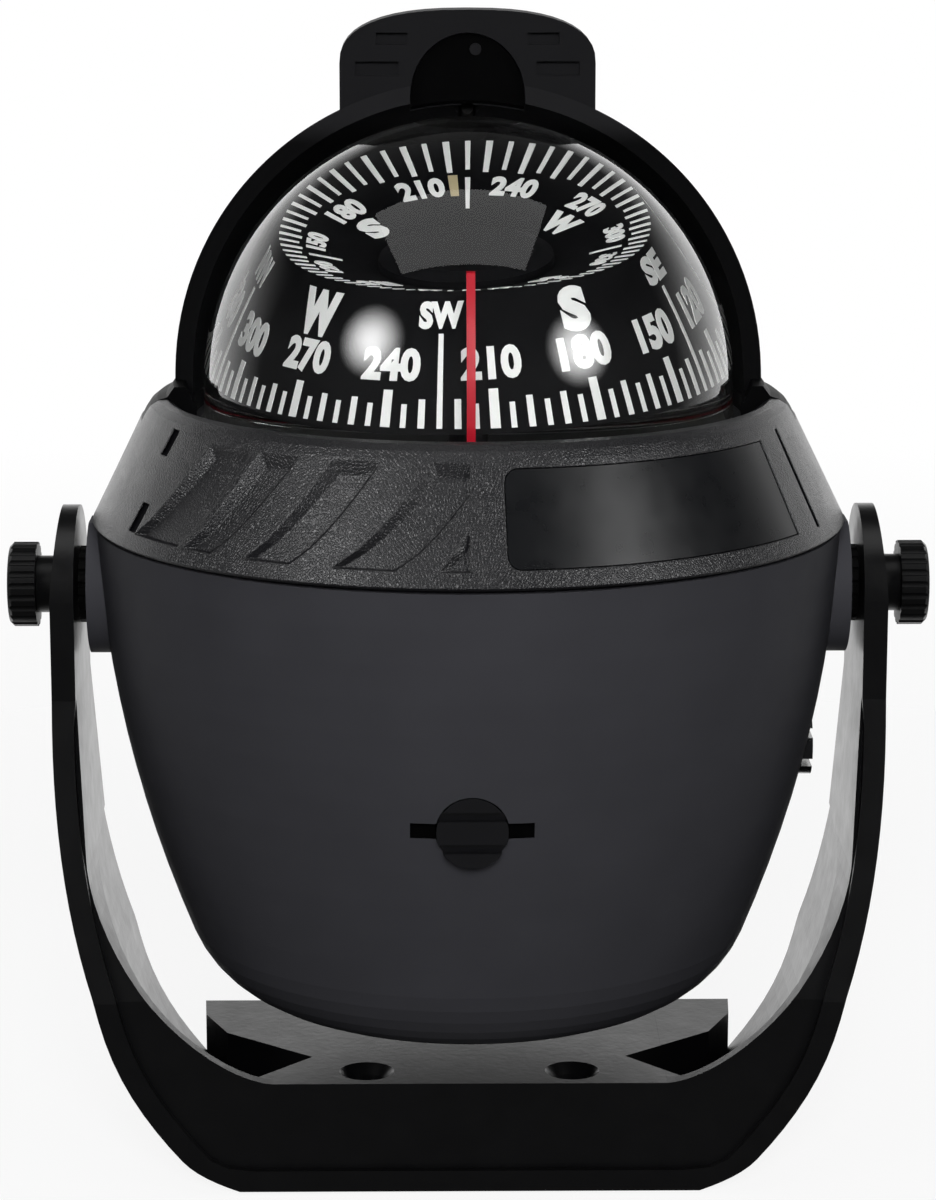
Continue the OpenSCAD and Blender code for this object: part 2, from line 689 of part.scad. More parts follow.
module tab_slots() {
    for (s = [-1, 1]) {
        translate([s > 0 ? 6.1 : -9.3, tab_front - 1, tab_top - 3.5]) cube([3.2, 1.7, 1.2]);
        translate([s > 0 ? 7 : -11.4, tab_front - 1, tab_top - 6.6]) cube([4.4, 1.7, 1.4]);
    }
}

module lead_groove() {
    translate([-lead_r - 0.3, 0, 0]) rotate([90, 0, 90]) linear_extrude(2 * lead_r + 0.6) difference() {
        intersection() {
            translate([0, hood_c]) circle(r = hood_r - hood_wall + 2 * lead_r + 0.1);
            translate([lamp_y - 0.6, step_z - 2]) square([hood_r, 40]);
        }
        translate([0, hood_c]) circle(r = hood_r - hood_wall - 1);
    }
}

module hood() color([0.05, 0.05, 0.055]) difference() {
    union() {
        hood_shell();
        hood_foot();
        difference() {
            slab_y(tab_front, tab_front + tab_t) tab_outline(0);
            translate([0, 0, hood_c]) sphere(r = hood_r - hood_wall);
        }
    }
    slab_y(tab_front - 1, tab_front + niche_d) niche_outline(0);
    tab_slots();
    translate([0, lamp_y, dome_h + 20]) cylinder(h = niche_top - dome_h - 22.6, r = led_r + 0.15);
    translate([-2.6, tab_front + niche_d - 0.5, niche_top - 5.1]) cube([5.2, 2.2, 2.6]);
    translate([0.8, 0, niche_top - 1.7]) rod_y(tab_front, tab_front + tab_t - 0.6, 0.4);
    lead_groove();
    lead_rod(lead_high + [-0.6, 0.9], lead_mid, lead_r + 0.25);
    for (a = hood_screw_bearings) bearing(a) translate([0, -hood_screw_at, step_z - 1]) cylinder(h = 2.3, r = hood_screw_r);
}

module hood_screws() color([0.72, 0.72, 0.74]) for (a = hood_screw_bearings) bearing(a) translate([0, -hood_screw_at, 0]) {
    translate([0, 0, seat_z - 0.1]) cylinder(h = step_z + 1.3 - seat_z, r = hood_screw_r - 0.02);
    translate([0, 0, seat_z - screw_head_t - 0.05]) cylinder(h = screw_head_t, r = 1.5);
}

module lamp_cover() color([0.04, 0.04, 0.045]) difference() {
    slab_y(tab_front + 0.9, tab_front + niche_d - 0.05) niche_outline(0.12);
    translate([0, 0, hood_c]) sphere(r = hood_r - hood_wall + 0.1);
    translate([0.8, 0, niche_top - 1.7]) rod_y(tab_front, tab_front + tab_t, 0.45);
}

module lamp_cover_screw() color([0.35, 0.35, 0.37]) translate([0.8, 0, niche_top - 1.7]) {
    rod_y(tab_front + 0.5, tab_front + 0.85, 0.6);
    rod_y(tab_front + 0.8, tab_front + tab_t - 0.7, 0.38);
}

module led() color([0.95, 0.9, 0.75]) translate([0, lamp_y, 0]) {
    led_low = niche_top - 6;
    intersection() {
        translate([0, 0, led_low]) sphere(r = led_r);
        translate([-2, -2, led_low - 2]) cube([4, 4, 2.1]);
    }
    translate([0, 0, led_low]) cylinder(h = niche_top - 4.95 - led_low, r = led_r);
}

module led_board() color([0.1, 0.35, 0.2])
    translate([-2.4, tab_front + niche_d + 0.05, niche_top - 4.9]) cube([4.8, 1.6, 2.3]);

lead_arc_r = hood_r - hood_wall + lead_r;
// The lead's arc ends just behind the lamp
lead_arc_a = acos((lamp_y + led_r + 0.13) / (lead_arc_r - lead_r));
lead_path = [lead_high, lead_mid, lead_low, [case_r(adjuster_h) - case_wall - 1.9, adjuster_h],
    [case_r(adjuster_h) - 0.9, adjuster_h]];
module lamp_lead() color([0.05, 0.05, 0.05]) {
    bend_r = lead_r + 0.04;
    translate([0, 0, hood_c]) rotate([90, 0, 90]) rotate_extrude(angle = lead_arc_a) translate([lead_arc_r, 0]) circle(r = lead_r);
    translate([0, lead_arc_r, hood_c]) sphere(r = bend_r);
    lead_rod([lead_arc_r, hood_c], lead_high, lead_r);
    for (i = [1 : len(lead_path) - 1]) {
        lead_rod(lead_path[i - 1], lead_path[i], lead_r);
        translate([0, lead_path[i - 1][0], lead_path[i - 1][1]]) sphere(r = bend_r);
    }
}

module cable_grommet() color([0.03, 0.03, 0.03]) translate([0, 0, adjuster_h]) difference() {
    union() {
        rod_y(case_r(adjuster_h) - case_wall - 0.9, case_r(adjuster_h) + 0.9, grommet_r - 0.05);
        rod_y(case_r(adjuster_h) + 0.75, case_r(adjuster_h) + 2, grommet_r + 0.9);
    }
    rod_y(case_r(adjuster_h) - case_wall - 3, case_r(adjuster_h) + 4, 1.5);
}

// Capsule: dome, gasket, bowl, clamp ring and what closes it below

dome_flange_z = shelf_z - 1.5;
bowl_flange_z = seat_z + seat;
bowl_top_z = dome_flange_z - gasket_t - 0.1;
bowl_floor_z = dome_h - dome_r + 7.65;
bowl_floor_t = 2;

module dome() color([0.85, 0.9, 0.92, 0.35]) difference() {
    union() {
        translate([0, 0, dome_h]) sphere(r = dome_r);
        translate([0, 0, dome_flange_z]) cylinder(h = dome_h - dome_flange_z, r = dome_r);
        translate([0, 0, dome_flange_z]) cylinder(h = shelf_z - seat - dome_flange_z, r = flange_r);
    }
    translate([0, 0, dome_h]) sphere(r = dome_r - dome_wall);
    translate([0, 0, dome_flange_z - 1]) cylinder(h = dome_h - dome_flange_z + 1, r = dome_r - dome_wall);
    translate([0, 0, dome_flange_z - 60]) cylinder(h = 60, r = 60);
}

module dome_gasket() color([0.03, 0.03, 0.03])
    ring(bowl_top_z + 0.05, dome_flange_z - 0.05, dome_r + 0.4, flange_r - 0.3);

module capsule_bowl() color([0.06, 0.06, 0.06]) difference() {
    union() {
        translate([0, 0, dome_h]) sphere(r = dome_r);
        translate([0, 0, bowl_flange_z]) cylinder(h = bowl_top_z - bowl_flange_z, r = flange_r);
    }
    translate([0, 0, bowl_top_z]) cylinder(h = 60, r = 60);
    translate([0, 0, bowl_floor_z - 60]) cylinder(h = 60, r = 60);
    intersection() {
        translate([0, 0, dome_h]) sphere(r = dome_r - dome_wall);
        translate([0, 0, bowl_floor_z + bowl_floor_t]) cylinder(h = 60, r = 60);
    }
    translate([0, 0, bowl_floor_z - 1]) cylinder(h = 5, r = 1.5);
    for (a = [0 : 60 : 300]) rotate([0, 0, a + 30]) translate([7.5, 0, bowl_floor_z - 1]) cylinder(h = 5, r = 1.6);
    translate([0, -13.8, bowl_floor_z - 1]) cylinder(h = 5, r = 1.7);
}

module clamp_ring() color([0.12, 0.12, 0.12]) difference() {
    ring(seat_z - clamp_t, seat_z - 0.02, dome_r - 1.4, seat_out - 0.2);
    for (a = clamp_bearings) bearing(a) translate([0, -clamp_at, seat_z - clamp_t - 1]) cylinder(h = 4, r = clamp_screw_r + 0.1);
    for (a = hood_screw_bearings) bearing(a) translate([0, -hood_screw_at, seat_z - clamp_t - 1]) cylinder(h = 4, r = 1.65);
    bearing(180) translate([0, -clamp_at, seat_z - clamp_t - 1]) cylinder(h = 4, r = lead_r + 0.5);
    translate([0, 0, dome_h]) sphere(r = dome_r + 0.1);
}

module clamp_screws() color([0.72, 0.72, 0.74]) for (a = clamp_bearings) bearing(a) translate([0, -clamp_at, 0]) {
    translate([0, 0, seat_z - clamp_t - screw_head_t - 0.05]) cylinder(h = screw_head_t, r = 1.5);
    translate([0, 0, seat_z - clamp_t - 0.1]) cylinder(h = clamp_t + clamp_grip, r = clamp_screw_r - 0.02);
}

diaphragm_r = 11;
diaphragm_t = 1;
cover_t = 1.3;
module diaphragm() color([0.15, 0.15, 0.15])
    ring(bowl_floor_z - seat - diaphragm_t, bowl_floor_z - seat, 1.7, diaphragm_r);

cover_z = bowl_floor_z - 2 * seat - diaphragm_t - cover_t;
module diaphragm_cover() color([0.2, 0.2, 0.2]) difference() {
    ring(cover_z, cover_z + cover_t, 1.7, diaphragm_r + 0.6);
    for (a = [0 : 60 : 300]) rotate([0, 0, a]) translate([7.5, 0, cover_z - 1]) cylinder(h = 4, r = 0.8);
}

module post_nut() color([0.75, 0.6, 0.3]) difference() {
    translate([0, 0, cover_z - 1.7]) cylinder(h = 1.6, r = 3, $fn = 6);
    translate([0, 0, cover_z - 3]) cylinder(h = 4, r = 1.45);
}

module filler_plug() color([0.06, 0.06, 0.06]) translate([0, -13.8, 0]) {
    translate([0, 0, bowl_floor_z - 0.02]) cylinder(h = bowl_floor_t, r = 1.65);
    translate([0, 0, bowl_floor_z - 1.1]) cylinder(h = 1, r = 2.4);
    translate([0, 0, bowl_floor_z - 0.15]) cylinder(h = 0.3, r = 1.65);
}

post_tip_z = card_top_h - 6.4;
module pivot_post() color([0.75, 0.6, 0.3]) {
    translate([0, 0, cover_z - 1.9]) cylinder(h = post_tip_z - 2.2 - cover_z + 1.9, r = 1.4);
    translate([0, 0, bowl_floor_z + bowl_floor_t + 0.05]) cylinder(h = 1.2, r = 3);
    translate([0, 0, post_tip_z - 2.25]) cylinder(h = 2.2, r1 = 1.4, r2 = 0.25);
}

// The line that the driver reads against: a bent red strip with a foot on the bowl's wall
bowl_in = dome_r - dome_wall;
lubber_in = bowl_in - 1.2;
lubber_low_z = bowl_top_z - 2.6;
lubber_top_z = dome_h + 13;
module lubber_strip(r_out, z0, z1) {
    difference() {
        intersection() {
            translate([0, dome_h]) circle(r = r_out);
            translate([-bowl_in - 1, z0]) square([bowl_in, z1 - z0]);
        }
        translate([0, dome_h]) circle(r = lubber_in - 0.7);
    }
}

module lubber_line() color([0.8, 0.05, 0.08]) translate([-lubber_w / 2, 0, 0]) rotate([90, 0, 90]) linear_extrude(lubber_w) {
    lubber_strip(lubber_in, lubber_low_z, lubber_top_z);
    lubber_strip(bowl_in - seat, lubber_low_z, lubber_low_z + 1.5);
}

// Card

module on_card() {
    rotate([0, 0, heading]) children();
}

// The card floats level on its point while the case leans a little, so it stands askew in the case
module floating() translate([0, 0, post_tip_z]) rotate([card_pitch, -card_roll, 0]) translate([0, 0, -post_tip_z]) children();

card_flat_h = card_top_h - card_dish;
module dial_card() color([0.04, 0.04, 0.04]) floating() rotate_extrude() polygon([[card_r, card_low_h], [ring_r, card_top_h],
    [hub_r + 0.2, card_flat_h], [hub_r - 1.5, card_flat_h], [hub_r - 1.5, card_flat_h - card_t],
    [hub_r + 0.3, card_flat_h - card_t], [ring_r - card_t, card_top_h - card_t - 0.35], [card_r - card_t, card_low_h]]);

hub_h = 1.1;
module card_hub() color([0.35, 0.35, 0.37]) floating() difference() {
    union() {
        translate([0, 0, card_flat_h + 0.02]) cylinder(h = hub_h * 0.5, r = hub_r);
        translate([0, 0, card_flat_h + hub_h * 0.5]) cylinder(h = hub_h * 0.5, r1 = hub_r, r2 = hub_r - 1.2);
        translate([0, 0, card_flat_h - card_t]) cylinder(h = card_t + 0.2, r = hub_r - 1.55);
    }
}

float_h = 4.6;
float_z = card_flat_h - card_t - 0.05 - float_h;
module card_float() color([0.5, 0.5, 0.48]) floating() ring(float_z, float_z + float_h, 2.4, ring_r - card_t - 0.4);

module jewel_cup() color([0.7, 0.15, 0.25]) floating() difference() {
    translate([0, 0, post_tip_z - 1.6]) cylinder(h = float_z + float_h - post_tip_z + 1.6, r = 2.35);
    translate([0, 0, post_tip_z - 2]) cylinder(h = 2.35, r1 = 1.75, r2 = 0.6);
}

bar_l = 20;
bar_w = 2;
bar_at = 4.6;
module card_magnets() color([0.5, 0.5, 0.52]) floating() on_card() for (s = [-1, 1])
    translate([s * bar_at - bar_w / 2, -bar_l / 2, float_z - bar_w - 0.1]) cube([bar_w, bar_l, bar_w + 0.05]);

// Adjusters: a knob, a shaft and a magnet each, one from the front and one from the right side

knob_face = case_r(adjuster_h) + 0.7;
adjuster_flange_r = adjuster_r + 0.9;
// The flange behind the wall clears the wall's curve at its own lowest point
flange_y = sqrt(pow(case_r(adjuster_h - adjuster_flange_r) - case_wall, 2) - pow(adjuster_flange_r, 2)) - 0.45;
shaft_end = 5;
magnet_at = 14;
upright_t = 2.4;
upright_gap = 5.6;

module adjuster_knob_shape() {
    difference() {
        union() {
            rod_y(-knob_face, -flange_y + 1.2, adjuster_r);
            rod_y(-flange_y, -flange_y + 1.2, adjuster_flange_r);
        }
        for (s = [-1, 1]) translate([-adjuster_r - 1, -knob_face - 1, s * 1.55 - 0.45]) cube([2 * adjuster_r + 2, 2.1, 0.9]);
        rod_y(-knob_face + 2.4, -flange_y + 2, shaft_r);
    }
}

module adjuster_shaft_shape() {
    difference() {
        rod_y(-knob_face + 2.45, -shaft_end, shaft_r - 0.01);
        translate([-magnet_l, -magnet_at - magnet_w / 2 - 0.02, -magnet_w / 2 - 0.02]) cube([2 * magnet_l, magnet_w + 0.04, magnet_w + 0.04]);
    }
}

module adjuster_magnet_shape() {
    translate([-magnet_l / 2, -magnet_at - magnet_w / 2, -magnet_w / 2]) cube([magnet_l, magnet_w, magnet_w]);
}

module front_adjuster() color([0.05, 0.05, 0.055]) translate([0, 0, adjuster_h]) adjuster_knob_shape();
module front_adjuster_shaft() color([0.75, 0.6, 0.3]) translate([0, 0, adjuster_h]) adjuster_shaft_shape();
module front_adjuster_magnet() color([0.45, 0.45, 0.47]) translate([0, 0, adjuster_h]) adjuster_magnet_shape();
module side_adjuster() color([0.05, 0.05, 0.055]) translate([0, 0, adjuster_h]) bearing(90) adjuster_knob_shape();
module side_adjuster_shaft() color([0.75, 0.6, 0.3]) translate([0, 0, adjuster_h]) bearing(90) adjuster_shaft_shape();
module side_adjuster_magnet() color([0.45, 0.45, 0.47]) translate([0, 0, adjuster_h]) bearing(90) adjuster_magnet_shape();

cage_r = seam_r - 15.6;
upright_w = 6;
upright_over = 2.6;
module cage_upright(y) {
    translate([-upright_w / 2, y - upright_t / 2, cage_z + cage_t - 0.1])
        cube([upright_w, upright_t, adjuster_h + upright_over - cage_z - cage_t + 0.1]);
}

module compensator_cage() color([0.12, 0.12, 0.13]) difference() {
    union() {
        translate([0, 0, cage_z]) cylinder(h = cage_t, r = cage_r);
        for (a = [0, 90]) bearing(a) {
            cage_upright(-magnet_at - upright_gap);
            cage_upright(-magnet_at + upright_gap + 0.8);
        }
    }
    for (a = [0, 90]) bearing(a) translate([0, 0, adjuster_h]) rod_y(-cage_r - 2, -shaft_end + 1.6, shaft_r + running);
    for (a = pillar_bearings) bearing(a) translate([0, -pillar_at, cage_z - 1]) cylinder(h = cage_t + 2, r = 1);
}

module cage_screws() color([0.72, 0.72, 0.74]) for (a = pillar_bearings) bearing(a) translate([0, -pillar_at, 0]) {
    translate([0, 0, cage_z - 6]) cylinder(h = 6 + cage_t + 0.1, r = 0.83);
    translate([0, 0, cage_z + cage_t + 0.05]) cylinder(h = 0.9, r = 1.6);
}

mounting_bracket();
left_knob();
right_knob();
left_knob_screw();
right_knob_screw();
left_washer();
right_washer();
pivot_inserts();
lower_housing();
bezel();
bezel_panel();
bezel_screws();
hood();
hood_screws();
lamp_cover();
lamp_cover_screw();
led();
led_board();
lamp_lead();
cable_grommet();
dome();
dome_gasket();
capsule_bowl();
clamp_ring();
clamp_screws();
diaphragm();
diaphragm_cover();
post_nut();
filler_plug();
pivot_post();
lubber_line();
dial_card();
card_hub();
card_float();
card_magnets();
jewel_cup();
compensator_cage();
cage_screws();
front_adjuster();
front_adjuster_shaft();
front_adjuster_magnet();
side_adjuster();
side_adjuster_shaft();
side_adjuster_magnet();
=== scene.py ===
import math

import bpy
import numpy as np
from mathutils import Matrix, Vector


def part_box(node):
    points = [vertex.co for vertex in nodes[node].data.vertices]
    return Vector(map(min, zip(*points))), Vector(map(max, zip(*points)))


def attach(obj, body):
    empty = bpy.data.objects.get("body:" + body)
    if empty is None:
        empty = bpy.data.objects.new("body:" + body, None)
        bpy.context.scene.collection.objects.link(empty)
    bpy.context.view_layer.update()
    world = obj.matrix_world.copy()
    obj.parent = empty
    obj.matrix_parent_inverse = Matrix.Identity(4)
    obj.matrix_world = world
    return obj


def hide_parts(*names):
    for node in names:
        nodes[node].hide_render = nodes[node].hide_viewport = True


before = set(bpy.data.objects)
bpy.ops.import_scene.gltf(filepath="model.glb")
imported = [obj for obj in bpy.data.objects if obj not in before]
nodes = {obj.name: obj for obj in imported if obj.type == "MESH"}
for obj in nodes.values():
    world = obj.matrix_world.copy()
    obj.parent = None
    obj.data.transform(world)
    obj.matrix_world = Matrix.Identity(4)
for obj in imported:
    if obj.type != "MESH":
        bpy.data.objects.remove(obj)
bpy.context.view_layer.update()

# ---- Camera -------------------------------------------------------------------------------
# The photograph looks at the compass from a little above and a touch left of its axis, from
# about 370 mm in front.
scene = bpy.context.scene
camera_data = bpy.data.cameras.new("photo_camera")
camera_data.sensor_fit = "HORIZONTAL"
camera_data.sensor_width = 36.0
camera_data.lens = 142.46
camera_data.clip_start = 0.02
camera = bpy.data.objects.new("photo_camera", camera_data)
camera.location = (-0.004, -0.370, 0.1373)
view_yaw = math.radians(-0.612)
view_pitch = math.radians(90 - 12.02)
camera.rotation_euler = (view_pitch, 0.0, view_yaw)
scene.collection.objects.link(camera)
scene.camera = camera

# ---- Studio -------------------------------------------------------------------------------
# White surroundings, a softbox overhead and two round lamps in front, whose reflections are
# the grey window and the two soft spots on the dome. A broad lamp in front brings out the
# plain colours and isn't seen in any gloss.
scene.view_settings.view_transform = "Standard"


def nodes_of(owner):
    """An owner's node tree, switched on and emptied: its nodes and its links."""
    owner.use_nodes = True
    owner.node_tree.nodes.clear()
    return owner.node_tree.nodes, owner.node_tree.links


def node(tree, kind, sockets=None, **settings):
    """A new shader node of this kind, with its settings and then its input sockets' values."""
    made = tree.new("ShaderNode" + kind)
    for key, value in settings.items():
        setattr(made, key, value)
    for key, value in (sockets or {}).items():
        made.inputs[key].default_value = value
    return made


def wire(links, *pairs):
    """Links each output to its input."""
    for start, end in pairs:
        links.new(start, end)


def seen_rays(tree, links):
    """The light path and two flags, each the largest of its rays' own: 1 for rays from the
    camera or through a clear piece, and 1 for these and for rays off a gloss."""
    path = node(tree, "LightPath")
    straight = node(tree, "Math", operation="MAXIMUM")
    seen = node(tree, "Math", operation="MAXIMUM")
    wire(links,
         (path.outputs["Is Camera Ray"], straight.inputs[0]),
         (path.outputs["Is Transmission Ray"], straight.inputs[1]),
         (straight.outputs[0], seen.inputs[0]),
         (path.outputs["Is Glossy Ray"], seen.inputs[1]))
    return path, straight.outputs[0], seen.outputs[0]


# White to the eye. A gloss sees the white low down behind the object, and little elsewhere.
world = bpy.data.worlds.new("white_studio")
scene.world = world
wn, wl = nodes_of(world)
_, straight, seen = seen_rays(wn, wl)
white = node(wn, "Background", {"Color": (1, 1, 1, 1)})
room = node(wn, "Background", {"Color": (0.95, 0.97, 1.0, 1), "Strength": 0.06})
direction = node(wn, "TexCoord")
split = node(wn, "SeparateXYZ")
behind = node(wn, "MapRange", {"From Min": 0.2, "From Max": 0.7, "To Min": 0.1, "To Max": 1.7})
above = node(wn, "MapRange", {"From Min": 0.2, "From Max": 0.5, "To Min": 1.0, "To Max": 0.05})
both_ways = node(wn, "Math", operation="MULTIPLY")
glow = node(wn, "Mix", {"B": 1.0})
world_mix = node(wn, "MixShader")
world_out = node(wn, "OutputWorld")
wire(wl,
     (direction.outputs["Generated"], split.inputs[0]),
     (split.outputs["Y"], behind.inputs["Value"]),
     (split.outputs["Z"], above.inputs["Value"]),
     (behind.outputs[0], both_ways.inputs[0]),
     (above.outputs[0], both_ways.inputs[1]),
     (straight, glow.inputs["Factor"]),
     (both_ways.outputs[0], glow.inputs["A"]),
     (glow.outputs["Result"], white.inputs["Strength"]),
     (seen, world_mix.inputs[0]),
     (room.outputs[0], world_mix.inputs[1]),
     (white.outputs[0], world_mix.inputs[2]),
     (world_mix.outputs[0], world_out.inputs["Surface"]))


def lamp(name, size, place, target, radiance, soft=False):
    """An area lamp that faces its target: two sizes make a rectangle, one makes a disc. Its
    power is its radiance times pi times its area, a disc's area being pi/4 of its square. A
    soft lamp's radiance falls smoothly to nothing from its middle to its rim."""
    data = bpy.data.lights.new(name, "AREA")
    data.shape = "RECTANGLE" if len(size) == 2 else "DISK"
    data.size = size[0]
    area = size[0] * size[-1]
    if len(size) == 2:
        data.size_y = size[1]
    else:
        area *= math.pi / 4
    data.energy = radiance * math.pi * area
    obj = bpy.data.objects.new(name, data)
    obj.location = place
    towards = Vector(target) - Vector(place)
    obj.rotation_euler = towards.to_track_quat("-Z", "Y").to_euler()
    scene.collection.objects.link(obj)
    if soft:
        n, l = nodes_of(data)
        across = node(n, "NewGeometry")
        centred = node(n, "VectorMath", {1: (0.5, 0.5, 0.0)}, operation="SUBTRACT")
        away = node(n, "VectorMath", operation="LENGTH")
        falls = node(n, "MapRange", {"From Max": 0.5, "To Min": 1.0, "To Max": 0.0},
                     interpolation_type="SMOOTHSTEP")
        shine = node(n, "Emission")
        end = node(n, "OutputLight")
        wire(l,
             (across.outputs["Parametric"], centred.inputs[0]),
             (centred.outputs[0], away.inputs[0]),
             (away.outputs["Value"], falls.inputs["Value"]),
             (falls.outputs[0], shine.inputs["Strength"]),
             (shine.outputs[0], end.inputs["Surface"]))
    return obj


lamp("overhead_softbox", size=(0.606, 0.438), place=(-0.033, -0.148, 0.681),
     target=(-0.033, -0.148, 0.0), radiance=1.4)
dome_middle = Vector((0.0, 0.0, 0.081))
lamp_distance = 0.8
left_way, right_way = Vector((-0.655, -0.654, 0.377)), Vector((0.716, -0.625, 0.310))
for name, way in (("left_lamp", left_way), ("right_lamp", right_way)):
    spot = lamp(name, size=(0.44,), place=dome_middle + lamp_distance * way,
                target=dome_middle, radiance=27.0, soft=True)
    spot.visible_diffuse = False
fill = lamp("front_fill", size=(0.4,), place=(0.02, -0.9, 0.45), target=(0.0, 0.0, 0.05),
            radiance=21.0)
fill.visible_glossy = False

# ---- Floor --------------------------------------------------------------------------------
# A pale floor that is white to the eye and darkens only where the object shades it. It fades
# out between 120 and 450 mm from the middle, and a gloss doesn't see it.
floor_half, floor_z = 1.2, -0.0004
glow_to_eye, grey_to_eye, grey_to_rest = 0.88, 0.12, 0.05
floor_mesh = bpy.data.meshes.new("floor")
floor_corners = [(x * floor_half, y * floor_half, floor_z)
                 for x, y in ((-1, -1), (1, -1), (1, 1), (-1, 1))]
floor_mesh.from_pydata(floor_corners, [], [(0, 1, 2, 3)])
floor = bpy.data.objects.new("floor", floor_mesh)
scene.collection.objects.link(floor)
floor_paint = bpy.data.materials.new("pale_floor")
fn, fl = nodes_of(floor_paint)
path, _, seen = seen_rays(fn, fl)
lit = node(fn, "BsdfDiffuse", {"Color": (grey_to_eye,) * 3 + (1,)})
own = node(fn, "Emission", {"Color": (1, 1, 1, 1), "Strength": glow_to_eye})
dark = node(fn, "BsdfDiffuse", {"Color": (grey_to_rest,) * 3 + (1,)})
lit_and_own = node(fn, "AddShader")
floor_mix = node(fn, "MixShader")
clear = node(fn, "BsdfTransparent")
fade = node(fn, "MixShader")
coords = node(fn, "TexCoord")
reach = node(fn, "VectorMath", operation="LENGTH")
edge = node(fn, "MapRange", {"From Min": 0.12, "From Max": 0.45})
not_there = node(fn, "Math", operation="MAXIMUM")
floor_out = node(fn, "OutputMaterial")
wire(fl,
     (lit.outputs[0], lit_and_own.inputs[0]),
     (own.outputs[0], lit_and_own.inputs[1]),
     (seen, floor_mix.inputs[0]),
     (dark.outputs[0], floor_mix.inputs[1]),
     (lit_and_own.outputs[0], floor_mix.inputs[2]),
     (coords.outputs["Object"], reach.inputs[0]),
     (reach.outputs["Value"], edge.inputs["Value"]),
     (edge.outputs[0], not_there.inputs[0]),
     (path.outputs["Is Glossy Ray"], not_there.inputs[1]),
     (not_there.outputs[0], fade.inputs[0]),
     (floor_mix.outputs[0], fade.inputs[1]),
     (clear.outputs[0], fade.inputs[2]),
     (fade.outputs[0], floor_out.inputs["Surface"]))
floor_mesh.materials.append(floor_paint)


def moulded(name, colour, rough, shine=0.5, grain=1400.0, depth=0.00002, uneven=0.12):
    """Moulded plastic: a base colour that wanders by the share uneven over some millimetres,
    roughness that wanders by 0.06 with a second noise, and a fine bump of the given grain per
    metre and depth in metres."""
    material = bpy.data.materials.new(name)
    n, l = nodes_of(material)
    out = node(n, "OutputMaterial")
    skin = node(n, "BsdfPrincipled", {"Specular IOR Level": shine})
    where = node(n, "TexCoord")
    clouds = node(n, "TexNoise", {"Scale": 140.0, "Detail": 4.0})
    tone = node(n, "Mix", {"A": (*[c * (1 - uneven) for c in colour], 1),
                           "B": (*[c * (1 + uneven) for c in colour], 1)}, data_type="RGBA")
    rub = node(n, "TexNoise", {"Scale": 420.0, "Detail": 3.0})
    spread = node(n, "MapRange", {"To Min": rough - 0.06, "To Max": rough + 0.06})
    fine = node(n, "TexNoise", {"Scale": grain, "Detail": 2.0})
    bump = node(n, "Bump", {"Strength": 1.0, "Distance": depth})
    wire(l,
         (where.outputs["Object"], clouds.inputs["Vector"]),
         (clouds.outputs["Fac"], tone.inputs["Factor"]),
         (tone.outputs["Result"], skin.inputs["Base Color"]),
         (where.outputs["Object"], rub.inputs["Vector"]),
         (rub.outputs["Fac"], spread.inputs["Value"]),
         (spread.outputs[0], skin.inputs["Roughness"]),
         (where.outputs["Object"], fine.inputs["Vector"]),
         (fine.outputs["Fac"], bump.inputs["Height"]),
         (bump.outputs[0], skin.inputs["Normal"]),
         (skin.outputs[0], out.inputs["Surface"]))
    return material


def dress(material, *names):
    """Puts the material in every slot of the named CAD pieces."""
    for name in names:
        mesh = nodes[name].data
        if not mesh.materials:
            mesh.materials.append(material)
        for i in range(len(mesh.materials)):
            mesh.materials[i] = material


bracket_plastic = moulded("bracket_plastic", (0.0016, 0.0016, 0.0019), rough=0.34, shine=0.35)
dress(bracket_plastic, "mounting_bracket")

# ---- Thumb screws and washers -------------------------------------------------------------
# Knurled black knobs moulded on steel screws, with serrated rubber washers between arm and
# boss. The inserts in which the screws turn are brass, and so are the adjusters' shafts; the
# lamp cover's and the bezel's screws are blackened.
knob_plastic = moulded("knob_plastic", (0.0018, 0.0018, 0.002), rough=0.4, shine=0.22)
dress(knob_plastic, "left_knob", "right_knob")
washer_rubber = moulded("washer_rubber", (0.002, 0.002, 0.002), rough=0.6, shine=0.15)
dress(washer_rubber, "left_washer", "right_washer", "cable_grommet", "dome_gasket",
      "diaphragm")


def metal(name, colour, rough):
    """Turned or drawn metal: a metallic skin whose roughness follows a noise of 900 cells per
    metre, eight times finer along Z, as a tool leaves it."""
    material = bpy.data.materials.new(name)
    n, l = nodes_of(material)
    out = node(n, "OutputMaterial")
    skin = node(n, "BsdfPrincipled", {"Base Color": (*colour, 1), "Metallic": 1.0})
    where = node(n, "TexCoord")
    stretch = node(n, "Mapping", {"Scale": (1, 1, 8)})
    strokes = node(n, "TexNoise", {"Scale": 900.0})
    spread = node(n, "MapRange", {"To Min": rough - 0.08, "To Max": rough + 0.12})
    wire(l,
         (where.outputs["Object"], stretch.inputs["Vector"]),
         (stretch.outputs[0], strokes.inputs["Vector"]),
         (strokes.outputs["Fac"], spread.inputs["Value"]),
         (spread.outputs[0], skin.inputs["Roughness"]),
         (skin.outputs[0], out.inputs["Surface"]))
    return material


dress(metal("screw_steel", (0.62, 0.62, 0.64), rough=0.3),
      "left_knob_screw", "right_knob_screw", "hood_screws", "clamp_screws", "cage_screws")
dress(metal("black_oxide", (0.03, 0.03, 0.032), rough=0.45),
      "lamp_cover_screw", "pivot_post", "bezel_screws")
dress(metal("turned_brass", (0.72, 0.52, 0.22), rough=0.28),
      "pivot_inserts", "post_nut", "front_adjuster_shaft", "side_adjuster_shaft")
